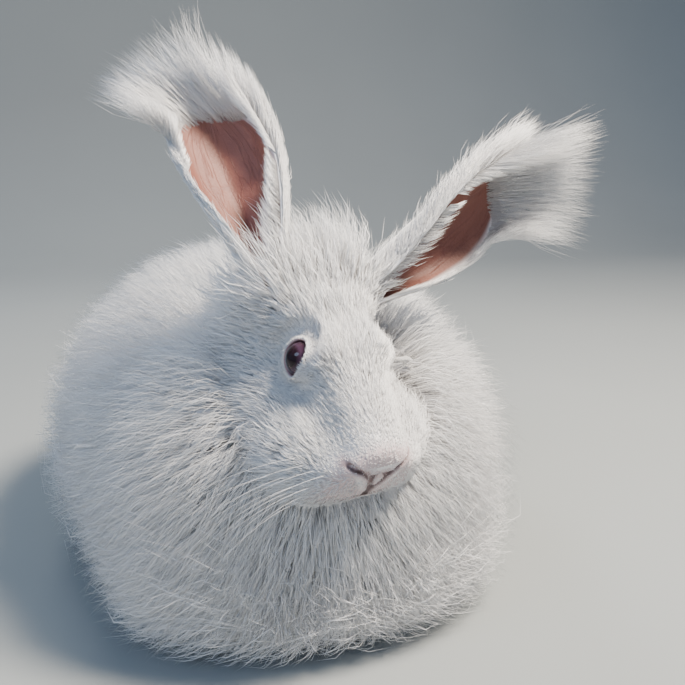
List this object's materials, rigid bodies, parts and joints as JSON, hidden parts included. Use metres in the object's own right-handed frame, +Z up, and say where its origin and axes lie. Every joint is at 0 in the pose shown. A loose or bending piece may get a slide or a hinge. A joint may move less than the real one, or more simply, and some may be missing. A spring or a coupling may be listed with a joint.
{
  "type": "angora rabbit model",
  "caption": "Still, life-size model of a white angora rabbit in full coat, crouched on its belly with its head up and its tufted ears spread.",
  "frame": {"origin": "on the floor under the middle of the belly", "axes": "+Z up, the rabbit faces -Y, and its left side is +X"},
  "size_m": [0.3446, 0.4395, 0.3377],
  "materials": {
    "coat": "matt, long and fine white wool",
    "face": "matt, short white fur with pink skin at the nose and the lids",
    "ear": "satin, pink skin with short white hair",
    "eye": "wet gloss, dark red pupil in a mauve iris"
  },
  "bodies": {
    "root": {"torso": "coat", "neck": "coat", "head": "face", "ear_right": "ear", "ear_left": "ear", "eye_right": "eye", "eye_left": "eye", "foreleg_right": "coat", "foreleg_left": "coat", "hindleg_right": "coat", "hindleg_left": "coat", "tail": "coat"}
  },
  "joints": []
}
